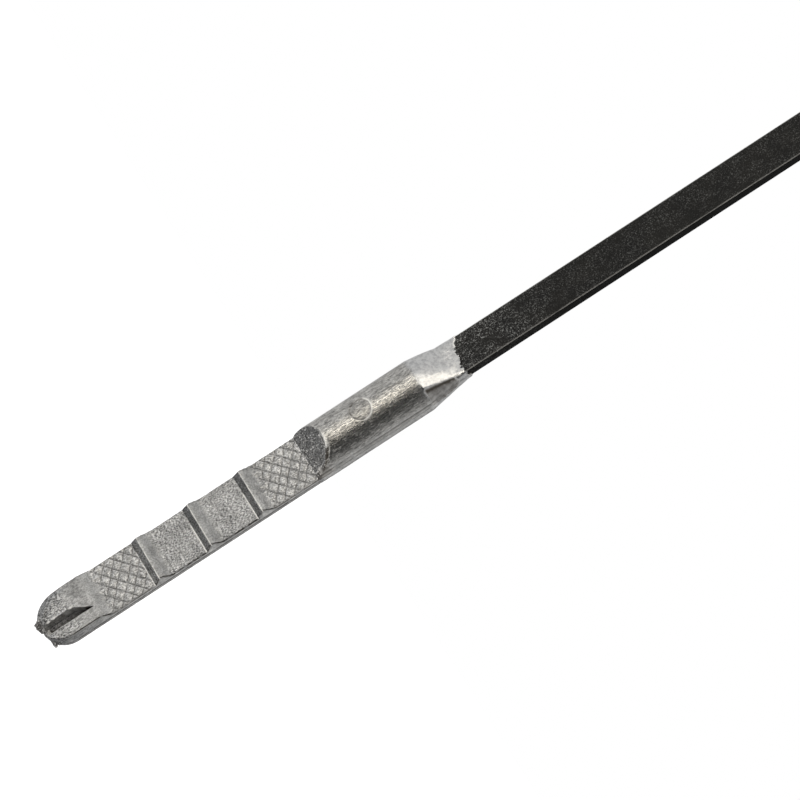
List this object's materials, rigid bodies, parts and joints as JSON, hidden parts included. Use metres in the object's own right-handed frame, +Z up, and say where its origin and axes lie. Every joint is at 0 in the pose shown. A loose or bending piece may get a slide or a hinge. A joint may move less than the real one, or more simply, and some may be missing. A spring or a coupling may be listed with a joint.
{
  "type": "fluid level dipstick",
  "caption": "Flat steel dipstick with a die-cast gauge head of raised level ridges and cross-hatched bands, hung from a cam-lever locking cap with a rubber seal.",
  "frame": {"origin": "on the blade's axis in the seat plane, where the cap's gasket rests on the filler tube's rim", "axes": "+Z up along the blade towards the lever, the gauge face looks towards -Y, the off-centre nose slot lies towards +X"},
  "size_m": [0.032, 0.032, 0.2771],
  "materials": {
    "cast_alloy": "as-cast, grainy",
    "black_steel": "satin black with fine scratches",
    "plated_steel": "zinc plated, satin",
    "cap_plastic": "fine moulded texture",
    "lever_plastic": "satin moulded",
    "seal_rubber": "matt"
  },
  "bodies": {
    "cap": {"cap_body": "cap_plastic", "seat_gasket": "seal_rubber", "rod_o_ring": "seal_rubber", "wear_plate": "plated_steel", "upper_washer": "plated_steel", "expansion_seal": "seal_rubber"},
    "rod": {"draw_rod": "plated_steel", "lower_washer": "plated_steel", "lock_washer": "plated_steel", "clamp_nut": "plated_steel", "blade_socket": "plated_steel", "socket_pin": "plated_steel", "blade": "black_steel", "blade_rivets": "plated_steel", "gauge_tip": "cast_alloy"},
    "lever": {"cam_lever": "lever_plastic", "pivot_pin": "plated_steel", "pin_clip": "plated_steel"}
  },
  "joints": [
    {"name": "rod_draw", "type": "slide", "parent": "cap", "child": "rod", "axis": [0, 0, 1], "range_m": [0, 0.003], "deforming": ["expansion_seal"]},
    {"name": "lever_fold", "type": "hinge", "parent": "rod", "child": "lever", "pos_m": [0, 0, 0.0191], "axis": [1, 0, 0], "range_deg": [0, 90]}
  ],
  "couplings": [
    {"joint": "lever_fold", "follows": "rod_draw", "rad_per_m": 523.6}
  ]
}
